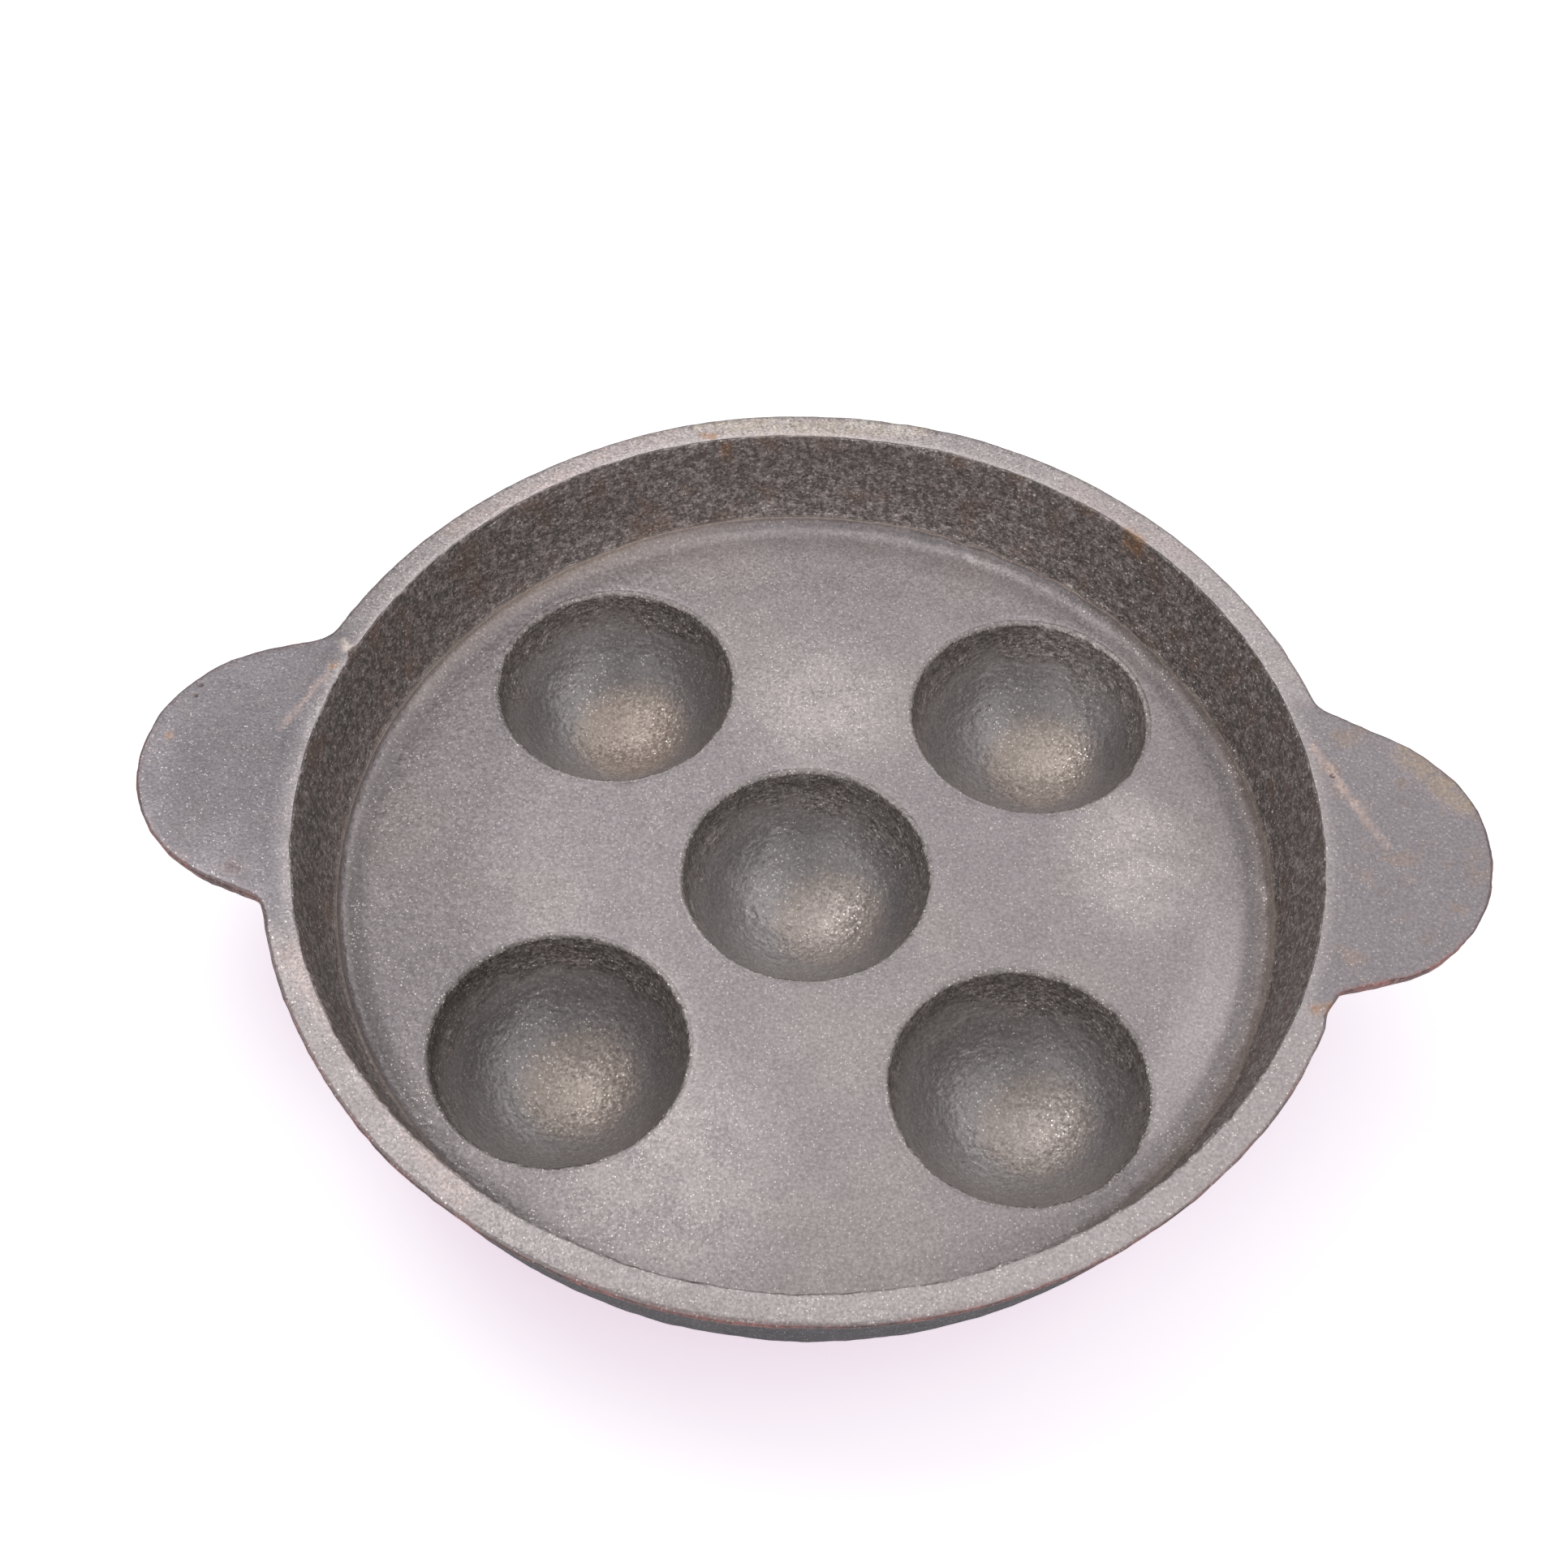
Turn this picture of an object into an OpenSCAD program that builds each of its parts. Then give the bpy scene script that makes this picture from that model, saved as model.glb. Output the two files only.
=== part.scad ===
// Cast iron pan for round dumplings: a shallow round well with a cup in the middle,
// a ring of cups around it, and two flat lugs level with the rim. One solid casting.
// Millimetres. The pan stands on z = 0, its axis is Z, and the lugs lie along X.

/* [Rim and wall] */
// largest radius of the rim
rim_radius = 102; // [96:1:112]
// width of the flat rim top
rim_width = 5.3; // [4.4:0.1:6.5]
// depth of the floor below the rim top
floor_depth = 22.2; // [19:0.1:26]
// thickness of the floor plate
floor_thickness = 4.2; // [3.4:0.1:5.6]
// inward lean of the outside of the wall, degrees
outer_lean = 16.7; // [13:0.1:18]
// inward lean of the inside of the wall, degrees
inner_lean = 13.9; // [11:0.1:16]
// rounding of the outer rim edge
rim_outer_round = 0.8; // [0.4:0.1:1.4]
// rounding of the inner rim edge
rim_inner_round = 0.5; // [0.3:0.1:1.2]
// radius of the gutter where the wall meets the floor
gutter_radius = 2.2; // [1.2:0.1:3.2]
// rounding where the wall meets the underside
base_round = 5; // [3:0.1:6]

/* [Cups] */
// number of cups in the ring
ring_cups = 4; // [3:1:4]
// distance from the pan's axis to a cup in the ring
ring_radius = 60.4; // [57:0.1:62]
// radius of a cup's mouth, where its wall meets the floor
cup_radius = 24; // [21:0.1:25]
// depth of a cup below the floor
cup_depth = 21.8; // [17:0.1:22]
// thickness of a cup's wall
cup_wall = 4; // [3:0.1:4.5]
// rounding of a cup's lip
lip_round = 1.2; // [0.6:0.1:1.6]
// radius of the fillet between a cup's outside and the underside
cup_fillet = 2.4; // [1.5:0.1:3]
// radius of the flat that a cup stands on
foot_radius = 5; // [3:0.1:8]

/* [Lugs] */
// distance from the pan's axis to the middle of a lug's round end
lug_offset = 98; // [94:0.1:101]
// radius of a lug's round end
lug_radius = 29.4; // [24:0.1:33]
// thickness of a lug
lug_thickness = 4; // [3:0.1:5]
// slope of a lug's straight sides, which widen towards the rim, degrees
lug_flare = 23; // [15:0.5:27]
// radius of the hollow corner where a lug runs into the rim, seen from above
root_radius = 5; // [3.5:0.1:7]
// how far past a hollow corner the lug runs on under the rim, degrees about the pan's axis
root_fade = 7; // [4:0.5:10]
// radius of the fillet under a lug, along the wall
under_fillet = 5; // [3:0.1:6]

/* [Hidden] */
$fn = 180;

iron = [0.36, 0.35, 0.36];

// overlap that makes a fillet cross the face beside it, where it would only touch it
sink = 0.03;
// the same for a hollow corner and what it touches
root_sink = 0.1;
// how far a cut runs past the surface that it opens
clear = 2;

// a cup is part of a sphere whose middle lies a little above the floor
cup_sphere = (pow(cup_radius, 2) + pow(cup_depth, 2)) / (2 * cup_depth);
shell_sphere = cup_sphere + cup_wall;
foot_cut = shell_sphere - sqrt(pow(shell_sphere, 2) - pow(foot_radius, 2));

// heights
top_z = floor_depth + cup_depth + cup_wall - foot_cut;
floor_z = top_z - floor_depth;
under_z = floor_z - floor_thickness;
cup_z = floor_z - cup_depth + cup_sphere;
lug_z = top_z - lug_thickness;

// radii at the rim top before its edges are rounded, which draws the outer one in
outer_corner = rim_radius + rim_outer_round * (tan(outer_lean) + 1 / cos(outer_lean) - 1);
inner_corner = rim_radius - rim_width;

// a lug's straight side: outward across it, along it towards the rim, and where it
// leaves the round end
side_out = polar(1, 90 - lug_flare);
side_along = polar(1, 180 - lug_flare);
side_start = [lug_offset, 0] + (lug_radius - root_sink) * side_out;

// middle of the circle of a hollow corner, which reaches both the rim and that side
root_reach = rim_radius + root_radius - root_sink;
root_start = side_start + (root_radius - root_sink) * side_out;
root_half = -root_start * side_along;
root_run = root_half - sqrt(pow(root_half, 2) - root_start * root_start + pow(root_reach, 2));
root_mid = root_start + root_run * side_along;

// direction of that middle from the pan's axis, and the end of the straight side
root_turn = atan2(root_mid.y, root_mid.x);
side_end = side_start + root_run * side_along;

// where the lug ends under the rim, inside the rim's edge but outside its inner edge
fade_inset = 1.4;

// middle of the fillet under a lug, and where it touches the wall
under_mid = beside(outer_corner, outer_lean, 1, under_fillet, lug_z - under_fillet) + [-sink, sink];
under_foot = touch(under_mid, outer_lean, 1, under_fillet);

// point of the plan at a distance and direction from the pan's axis
function polar(r, turn) = r * [cos(turn), sin(turn)];

// radius at height z of a surface that leans inward going down
function leaning(corner, lean, z) = corner - tan(lean) * (top_z - z);

// middle of a circle of radius r on a leaning surface at height z;
// side is -1 for a circle inside the surface and 1 for one outside it
function beside(corner, lean, side, r, z) = [leaning(corner, lean, z) + side * r / cos(lean), z];

// where that circle touches the surface
function touch(mid, lean, side, r) = mid - side * r * [cos(lean), -sin(lean)];

// middle at height z of a circle that touches a sphere of radius ball from outside
function ball_mid(ball, r, z) = [sqrt(pow(ball + r, 2) - pow(z - cup_z, 2)), z];

// where that circle touches the sphere
function ball_touch(mid, ball, r) = [0, cup_z] + (mid - [0, cup_z]) * ball / (ball + r);

module form_outline() {
  edge = beside(outer_corner, outer_lean, -1, rim_outer_round, top_z - rim_outer_round);
  base = beside(outer_corner, outer_lean, -1, base_round, under_z + base_round);
  polygon([
    [0, under_z],
    [base.x, under_z],
    touch(base, outer_lean, -1, base_round),
    touch(edge, outer_lean, -1, rim_outer_round),
    [edge.x, top_z],
    [0, top_z]
  ]);
  translate(edge)
    circle(rim_outer_round);
  translate(base)
    circle(base_round);
}

module well_outline() {
  edge = beside(inner_corner, inner_lean, 1, rim_inner_round, top_z - rim_inner_round);
  gutter_z = floor_z + gutter_radius;
  gutter = [leaning(inner_corner, inner_lean, gutter_z) - gutter_radius, gutter_z];
  difference() {
    union() {
      polygon([
        [0, floor_z],
        [gutter.x, floor_z],
        [gutter.x + gutter_radius, gutter_z],
        touch(edge, inner_lean, 1, rim_inner_round),
        [edge.x, top_z],
        [edge.x, top_z + clear],
        [0, top_z + clear]
      ]);
      translate(gutter)
        circle(gutter_radius);
    }
    translate(edge)
      circle(rim_inner_round);
  }
}

// half outline of a ball whose side flares with radius r into the level face at face_z
module ball_outline(ball, r, face_z, end_z) {
  mid = ball_mid(ball, r, face_z - r + sink);
  intersection() {
    translate([0, cup_z])
      circle(ball);
    square([ball, end_z]);
  }
  difference() {
    polygon([
      [0, mid.y],
      ball_touch(mid, ball, r),
      [mid.x, face_z],
      [mid.x, end_z],
      [0, end_z]
    ]);
    translate(mid)
      circle(r);
  }
}

// cut of the fillet under a lug, along the leaning wall
module under_outline() {
  difference() {
    polygon([
      under_foot,
      [under_mid.x, lug_z],
      [under_mid.x, lug_z + lug_thickness / 2],
      [under_foot.x - clear, lug_z + lug_thickness / 2],
      [under_foot.x - clear, under_foot.y]
    ]);
    translate(under_mid)
      circle(under_fillet);
  }
}

// plan of that fillet, whose ends run out on a slant at the lug's roots
module under_plan() {
  near = under_foot.x;
  far = under_mid.x + clear;
  polygon([
    [0, 0],
    polar(near, root_turn),
    polar(far, root_turn / 2),
    polar(far, -root_turn / 2),
    polar(near, -root_turn)
  ]);
}

// plan of what fills the corner between a lug's round end and the rim, on one side
module corner_plan() {
  difference() {
    polygon([
      [lug_offset - lug_radius / 2, 0],
      polar(rim_radius - fade_inset, root_turn + root_fade),
      polar(rim_radius, root_turn),
      polar(rim_radius + root_radius / 2, root_turn),
      side_end + root_radius / 2 * side_out,
      side_end,
      side_start,
      [lug_offset + lug_radius / 2, 0]
    ]);
    translate(root_mid)
      circle(root_radius);
  }
}

module lug_plan() {
  translate([lug_offset, 0])
    circle(lug_radius);
  corner_plan();
  mirror([0, 1])
    corner_plan();
}

module cups_at() {
  children();
  for (i = [0:ring_cups - 1])
    rotate(180 / ring_cups + i * 360 / ring_cups)
      translate([ring_radius, 0, 0])
        children();
}

module form() {
  color(iron)
    rotate_extrude()
      form_outline();
}

module well() {
  color(iron)
    rotate_extrude()
      well_outline();
}

module cup_shells() {
  color(iron)
    cups_at()
      rotate_extrude()
        ball_outline(shell_sphere, cup_fillet, under_z, under_z + floor_thickness / 2);
}

module cup_hollows() {
  color(iron)
    cups_at()
      rotate_extrude()
        ball_outline(cup_sphere, lip_round, floor_z, floor_z + clear);
}

module lug() {
  color(iron) {
    translate([0, 0, lug_z])
      linear_extrude(lug_thickness)
        lug_plan();
    intersection() {
      rotate_extrude()
        under_outline();
      translate([0, 0, lug_z - under_fillet])
        linear_extrude(under_fillet + lug_thickness)
          under_plan();
    }
  }
}

module pan() {
  difference() {
    union() {
      form();
      cup_shells();
      lug();
      rotate(180)
        lug();
    }
    well();
    cup_hollows();
  }
}

pan();
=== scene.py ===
from functools import reduce
from math import acos, asin, atan2, ceil, cos, degrees, hypot, pi, radians, sin, sqrt, tan

import bmesh
import bpy
import numpy as np
from mathutils import Matrix, Vector, geometry, kdtree, noise
from numpy.linalg import norm


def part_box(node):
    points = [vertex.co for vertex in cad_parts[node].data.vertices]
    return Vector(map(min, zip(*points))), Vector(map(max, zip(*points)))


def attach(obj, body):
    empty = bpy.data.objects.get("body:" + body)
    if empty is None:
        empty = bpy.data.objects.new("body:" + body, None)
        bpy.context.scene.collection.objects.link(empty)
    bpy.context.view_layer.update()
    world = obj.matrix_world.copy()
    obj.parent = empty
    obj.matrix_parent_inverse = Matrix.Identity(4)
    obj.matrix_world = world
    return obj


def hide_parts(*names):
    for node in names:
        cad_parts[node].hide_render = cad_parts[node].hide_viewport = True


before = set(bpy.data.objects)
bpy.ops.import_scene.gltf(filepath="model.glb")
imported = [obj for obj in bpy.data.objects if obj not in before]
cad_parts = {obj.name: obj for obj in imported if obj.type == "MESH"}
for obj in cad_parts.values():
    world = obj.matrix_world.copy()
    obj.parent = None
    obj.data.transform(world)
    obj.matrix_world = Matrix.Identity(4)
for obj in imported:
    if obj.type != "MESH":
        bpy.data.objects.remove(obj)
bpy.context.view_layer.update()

# A cast iron pan with five round cups and two lugs, on a pale floor. The casting is one closed
# mesh that replaces the CAD node: it has the CAD's sizes, and adds the ragged edges, the rough
# wall and the uneven rim of a sand casting. Everything is in metres, in the frame of the CAD.

# Sizes taken from the CAD node
MM = 0.001
low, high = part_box("pan")
TOP = high.z
RIM_RADIUS = high.y
LUG_TIP = high.x

# Rim and wall. The rim is 0.6 mm wider inside than the CAD's, with a rounder inner edge
RIM_WIDTH = 5.9 * MM
FLOOR_Z = TOP - 22.2 * MM
UNDER_Z = FLOOR_Z - 4.2 * MM
OUTER_LEAN = radians(16.7)
INNER_LEAN = radians(13.9)
RIM_ROUND = 0.8 * MM
INNER_ROUND = 0.6 * MM
BASE_ROUND = 5 * MM
# Radius of the outside wall at the rim top if the edge there were sharp
OUTER_CORNER = RIM_RADIUS + RIM_ROUND * (tan(OUTER_LEAN) + 1 / cos(OUTER_LEAN) - 1)
# How far the rim stays from the front and back of the CAD's box
BOX_CLEARANCE = 0.1 * MM
# How far down the wall the unevenness of the inner edge reaches
EDGE_REACH = 8 * MM

# Cups, as in the CAD
CUP_TURNS = [radians(45 + 90 * i) for i in range(4)]
CUP_RING = 60.4 * MM
CUP_RADIUS = 24 * MM
CUP_DEPTH = 21.8 * MM
CUP_WALL = 4 * MM
LIP_ROUND = 1.2 * MM
# How much of the cup's finish each row of its lip has
LIP_WEIGHTS = (0, 1 / 3, 2 / 3, 1, 1)
SHELL_FILLET = 2.4 * MM
CUP_SPHERE = (CUP_RADIUS ** 2 + CUP_DEPTH ** 2) / (2 * CUP_DEPTH)
SHELL_SPHERE = CUP_SPHERE + CUP_WALL
CUP_MIDDLE_Z = FLOOR_Z - CUP_DEPTH + CUP_SPHERE
CUPS = [(0.0, 0.0)] + [(CUP_RING * cos(t), CUP_RING * sin(t)) for t in CUP_TURNS]

# Lugs, as thick as in the CAD, with edges that lean as a casting's do
LUG_THICKNESS = 4 * MM
LUG_Z = TOP - LUG_THICKNESS
LUG_LEAN = radians(13)
LUG_ROUND = 0.6 * MM
LUG_LOWER_ROUND = 0.5 * MM
UNDER_FILLET = 5 * MM
FILLET_TAPER = radians(6)
LEAST_FILLET = 0.05 * MM
# Direction of a lug's roots from the X axis
ROOT_TURN = radians(20)
# How far from its roots a lug is fully ragged, and has an edge of its own
RAGGED_FADE = 6 * MM
EDGE_FADE = 8 * MM

# Radius of each lug's round end, and how far its middle is off the pan's X axis
LUG_ENDS = {1: (29.3 * MM, 0.3 * MM), -1: (28.5 * MM, 1.4 * MM)}

# Flare of a lug's straight side and radius of the hollow corner, by (side of the pan, up or
# down in the plan). Each differs a little
LUG_CORNERS = {
    (1, 1): (radians(25), 5 * MM),
    (1, -1): (radians(18), 2.5 * MM),
    (-1, -1): (radians(19), 4 * MM),
    (-1, 1): (radians(20), 6 * MM),
}

# Foot of the wall: a smooth cove ground into the casting, whose ragged upper edge
# stands a little proud of the rough wall
COVE_HEIGHT = 2.2 * MM
COVE_WIDTH = 4.5 * MM
LEDGE_STEP = 0.5 * MM
COVE_ANGLES = (14, 30, 46, 62, 77, 90)
COVE_FOOT = RIM_RADIUS - RIM_WIDTH - tan(INNER_LEAN) * (TOP - FLOOR_Z - COVE_HEIGHT) \
    - LEDGE_STEP - COVE_WIDTH
# Where the ledge is the most ragged, and where the cove is tan: on the right, and at the
# back left, with the half width, in degrees
LEDGE_RAGGED_TURN = radians(12)
COVE_TAN_TURN = radians(-10)
COVE_TAN_BACK = (132, 26)

# Unevenness of the casting as lumps of noise: height and size in millimetres, and seed
RIM_LUMPS = [(0.1, 22, 3.1), (0.09, 5, 8.7), (0.07, 1.8, 4.9)]
LUG_LUMPS = [(0.16, 3, 5.5), (0.1, 1, 2.5)]
INNER_EDGE_LUMPS = [(0.22, 9, 1.3), (0.12, 3, 6.1)]
LEDGE_LUMPS = [(0.55, 4.5, 2.2), (0.33, 1.8, 9.4)]
LEDGE_WAVES = [(0.25, 15, 4)]
LEDGE_TEETH = [(0.3, 2.5, 7.7)]

# Swells of an edge, or hollows if negative: direction from +X and half width in degrees,
# and height in millimetres
RIM_SWELLS = {
    "left_back_hollow": (127, 18, -0.5),
    "back_hollow": (95, 10, -0.4),
    "right_front_notch": (-20.3, 1.2, -0.7),
    "back_nick": (84, 1.0, -0.25),
    "right_back_nick": (78, 1.5, -0.2),
}
INNER_EDGE_SWELLS = {
    "left_notch": (162.6, 0.7, 1.1),
    "wider_back_rim": (91, 14, -0.7),
}
# On the right lug's far side, about the middle of its round end
LUG_SWELL = (28, 16, 0.5)
# How far the lugs' outline is worn back on the whole, in millimetres
LUG_WEAR = 0.15

# Steps of the rounding of the rim's and lugs' edge and of the rim's inner edge in degrees, and
# of the outer edge's side below that
EDGE_ANGLES = (90, 65, 40, 15)
INNER_EDGE_ANGLES = (90, 115, 141)
EDGE_DEPTHS = (1.9 * MM, 2.8 * MM, LUG_THICKNESS - 0.45 * MM)
# Rust on each row of that edge from the top face down, and how many rows are ground
RIM_RUST = (0.05, 0.2, 0.5, 1, 0.9, 0.5, 0.2, 0, 0)
LUG_RUST = (0.1, 0.35, 0.8, 1, 1, 1, 0.95, 0.8, 0.4)
GROUND_ROWS = 3

# Fineness of the mesh
COLUMNS = 640
LIP_COLUMNS = 176
SHELL_COLUMNS = 112
OUTSIDE_ROWS = 14
BASE_ROWS = 7
WALL_ROWS = 21
FILLET_ROWS = 5
LUG_END_POINTS = 90
LUG_CORNER_POINTS = 12
LUG_STEP = 1 * MM
# Columns from a lug's root to the first plain rim column at least
ROOT_GAP = 0.3
TOP_SPACING = 1.05 * MM
FLOOR_SPACING = 1.35 * MM
CUP_SPACING = 0.98 * MM
UNDER_SPACING = 2.3 * MM
SHELL_SPACING = 1.8 * MM
# In parts of a face's spacing: the gap between its points and its border, and at a fine spot
# the finer grid's size, reach, spacing and gap to the coarser points
BORDER_GAP = 0.62
SPOT_GRID = 1.5
SPOT_REACH = 1.3
SPOT_SPACING = 0.25
SPOT_GAP = 0.4

# Directions of the columns around the pan, a cup's lip and a shell
TURNS, LIP_TURNS, SHELL_TURNS = [
    np.arange(count) * 2 * pi / count for count in (COLUMNS, LIP_COLUMNS, SHELL_COLUMNS)]

# Zones of the casting, and weights that depend on the place alone: the lugs, rubbed cup bottoms with
# a painted highlight, painted sheen on the floor, and painted light and shade
ZONES = ["wall", "cup", "rim", "outer", "edge", "ledge"]
WEAR_AND_LIGHT = ["lug", "worn_and_highlit", "bright", "shade"]


def smooth(low_end, high_end, x):
    """0 below low_end, 1 above high_end, and a smooth rise between them."""
    t = np.clip((x - low_end) / (high_end - low_end), 0, 1)
    return t * t * (3 - 2 * t)


def in_scene(name, data):
    """A new object in the scene."""
    thing = bpy.data.objects.new(name, data)
    bpy.context.scene.collection.objects.link(thing)
    return thing


class Skin:
    """The surface of the casting: points with their zone weights, and faces."""

    def __init__(self):
        self.points = []
        self.zones = []
        self.faces = []

    def add(self, points, **zone):
        """Adds points and returns their numbers. zone gives weights, such as wall=1, each a
        number or one value a point."""
        first = len(self.points)
        weights = np.zeros((len(points), len(ZONES)))
        for name, value in zone.items():
            weights[:, ZONES.index(name)] = value
        self.points.extend(tuple(p) for p in points)
        self.zones.extend(weights.tolist())
        return list(range(first, len(self.points)))

    def strips(self, rows):
        """Quads between closed rows of equal length."""
        for row, next_row in zip(rows, rows[1:]):
            for i in range(len(row)):
                j = (i + 1) % len(row)
                self.faces.append((row[i], row[j], next_row[j], next_row[i]))

    def rounding(self, radius, mid_r, mid_z, angles, turns, middle=(0, 0), **zone):
        """Rows of a rounding about an upright axis, one at each angle. zone gives weights as
        for add, or one a row."""
        rows = []
        for i, angle in enumerate(angles):
            r = mid_r + radius * cos(angle)
            z = mid_z + radius * sin(angle)
            weights = {name: w[i] if isinstance(w, tuple) else w for name, w in zone.items()}
            rows.append(self.add(ring(r, z, turns, middle), **weights))
        return rows

    def fill_level(self, z, loops, spacing, spots=(), **zone):
        """A level face between rings in space."""
        plans = [np.array([self.points[n][:2] for n in loop]) for loop in loops]
        self.fill(loops, plans, spacing, lambda x, y: (x, y, z), spots, **zone)

    def fill(self, loops, plans, spacing, lift, spots=(), **zone):
        """Triangles inside the first loop of points and outside the others. plans gives each
        loop's points in the plan, and lift turns a plan point inside into one in space.
        The mesh is finer around the spots."""
        seeds = hexagons(plans[0].min(0), plans[0].max(0), spacing)
        for middle in spots:
            half = SPOT_GRID * spacing
            fine = hexagons(middle - half, middle + half, SPOT_SPACING * spacing)
            fine = fine[norm(fine - middle, axis=1) < SPOT_REACH * spacing]
            seeds = np.concatenate([seeds[clear_of(fine, seeds, SPOT_GAP * spacing)], fine])
        seeds = seeds[inside(plans, seeds)]
        border = np.concatenate(plans)
        seeds = seeds[clear_of(border, seeds, BORDER_GAP * spacing)]
        numbers = sum(loops, []) + self.add([lift(x, y) for x, y in seeds], **zone)
        edges = []
        start = 0
        for loop in loops:
            size = len(loop)
            edges += [(start + i, start + (i + 1) % size) for i in range(size)]
            start += size
        flat = np.concatenate([border, seeds])
        made = geometry.delaunay_2d_cdt([Vector(p) for p in flat], edges, [], 0, 1e-9, True)
        source = [found[0] for found in made[3]]
        triangles = np.array([[source[v] for v in face] for face in made[2]])
        keep = inside(plans, flat[triangles].mean(1))
        self.faces += [tuple(numbers[v] for v in t) for t in triangles[keep].tolist()]


def hexagons(lowest, highest, spacing):
    """Points of a triangular grid over a rectangle."""
    rows = np.arange(lowest[1], highest[1], spacing * sqrt(0.75))
    across = np.arange(lowest[0], highest[0], spacing)
    return np.array([(x + spacing / 2 * (i % 2), y) for i, y in enumerate(rows) for x in across])


def inside(plans, points):
    """True for the points inside the first outline and outside the others."""
    x, y = points.T
    odd = np.zeros(len(points), bool)
    for plan in plans:
        for (ax, ay), (bx, by) in zip(plan, np.roll(plan, -1, axis=0)):
            if ay != by:
                crosses = (ay > y) != (by > y)
                odd ^= crosses & (x < ax + (bx - ax) * (y - ay) / (by - ay))
    return odd


def clear_of(border, points, gap):
    """True for the points at least gap away from every border point."""
    tree = kdtree.KDTree(len(border))
    for i, (x, y) in enumerate(border):
        tree.insert((x, y, 0), i)
    tree.balance()
    return np.array([tree.find((x, y, 0))[2] > gap for x, y in points])


def ring(radius, z, turns, middle=(0, 0)):
    """Points around an upright axis; radius and z are numbers or one value a point."""
    x = middle[0] + radius * np.cos(turns)
    y = middle[1] + radius * np.sin(turns)
    return np.stack([x, y, z + 0 * turns], 1)


def around(turns, size, seed):
    """Smooth noise between -1 and 1 around the rim, with lumps of about that size."""
    reach = RIM_RADIUS / size
    return np.array([noise.noise((reach * cos(t), reach * sin(t), seed)) for t in turns])


def bump_at(turns, turn, half_width):
    """A smooth bump of height 1 around a direction in degrees."""
    away = np.degrees(turns) - turn
    away = (away + 180) % 360 - 180
    return np.exp(-(away / half_width) ** 2)


def uneven(turns, noises, swells=()):
    """Sum of such noises and of swells around the pan, in metres."""
    total = np.zeros(len(turns))
    for height, size, seed in noises:
        total += height * MM * around(turns, size * MM, seed)
    for turn, half_width, height in swells:
        total += height * MM * bump_at(turns, turn, half_width)
    return total


# Outline of the rim and lugs
def rim_wave(turns):
    """How far the casting's rim departs from a true circle, inside the CAD's box."""
    wave = uneven(turns, RIM_LUMPS, RIM_SWELLS.values()) + rim_growth(turns)
    across = np.maximum(np.abs(np.sin(turns)), 0.5)
    return np.minimum(wave, (RIM_RADIUS - BOX_CLEARANCE) / across - RIM_RADIUS)


def rim_growth(turns):
    """Growth of the rim: it is wider at the back than at the front."""
    return (0.3 * smooth(0, 0.45, np.sin(turns)) - 0.12 + 0.05 * np.cos(turns)) * MM


def lug_wave(line):
    """How far a lug's ragged outline departs from the true one."""
    wave = np.full(len(line), -LUG_WEAR)
    for height, size, seed in LUG_LUMPS:
        places = line / (size * MM)
        wave += height * np.array([noise.noise((x, y, seed)) for x, y in places])
    turns = np.arctan2(line[:, 1], line[:, 0] - LUG_TIP + LUG_ENDS[1][0])
    turn, half_width, height = LUG_SWELL
    return (wave + height * bump_at(turns, turn, half_width)) * MM


def wall_radius(z):
    """Radius of the true outside wall at height z."""
    return OUTER_CORNER - tan(OUTER_LEAN) * (TOP - z)


def lug_corner(side, up):
    """A corner of the lug on that side, turned to the upper corner of a lug on +X: the middle
    of its hollow circle, and both ends of the straight side beside it."""
    flare, radius = LUG_CORNERS[(side, up)]
    end_radius, off_axis = LUG_ENDS[side]
    out = np.array([sin(flare), cos(flare)])
    along = np.array([-cos(flare), sin(flare)])
    side_start = np.array([LUG_TIP - end_radius, up * off_axis]) + end_radius * out
    start = side_start + radius * out
    half = -start @ along
    rim = RIM_RADIUS + rim_growth(up * ROOT_TURN)
    run = half - sqrt(half ** 2 - start @ start + (rim + radius) ** 2)
    return start + run * along, side_start, side_start + run * along


def arc_points(middle, radius, start, end, count):
    """Points of an arc in the plan."""
    turns = np.linspace(start, end, count)
    return ring(radius, 0, turns, middle)[:, :2]


def evenly(line, spacing):
    """The same line with points at even distances along it."""
    steps = np.concatenate([[0], np.cumsum(norm(np.diff(line, axis=0), axis=1))])
    even = np.linspace(0, steps[-1], round(steps[-1] / spacing))
    return np.stack([np.interp(even, steps, line[:, i]) for i in (0, 1)], 1)


def lug_plan(side):
    """Outline of one lug from its root at the lower turn to the one at the higher turn."""
    end_radius, off_axis = LUG_ENDS[side]
    end_middle = np.array([LUG_TIP - end_radius, side * off_axis])
    corners = []
    for up in (-1, 1):
        middle, side_start, side_end = lug_corner(side, side * up)
        start = atan2(-middle[1], -middle[0]) + 2 * pi
        end = atan2(*(side_end - middle)[::-1]) + 2 * pi
        radius = LUG_CORNERS[(side, side * up)][1]
        corner = arc_points(middle, radius, start, end, LUG_CORNER_POINTS)
        corners.append(np.concatenate([corner, [side_start]]) * (1, up))
    first, last = [atan2(*(c[-1] - end_middle)[::-1]) for c in corners]
    end = arc_points(end_middle, end_radius, first, last, LUG_END_POINTS)
    line = np.concatenate([corners[0], end[1:-1], corners[1][::-1]])
    return evenly(line, LUG_STEP) * side


def lug_sector(side):
    """Numbers of the rim columns under a lug, from root to root."""
    middle = 0 if side > 0 else COLUMNS // 2
    reach = []
    for up in (-1, 1):
        x, y = lug_corner(side, side * up)[0]
        reach.append(ceil(atan2(y, x) / (2 * pi) * COLUMNS + ROOT_GAP))
    return [(middle + i) % COLUMNS for i in range(-reach[0], reach[1] + 1)]


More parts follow.
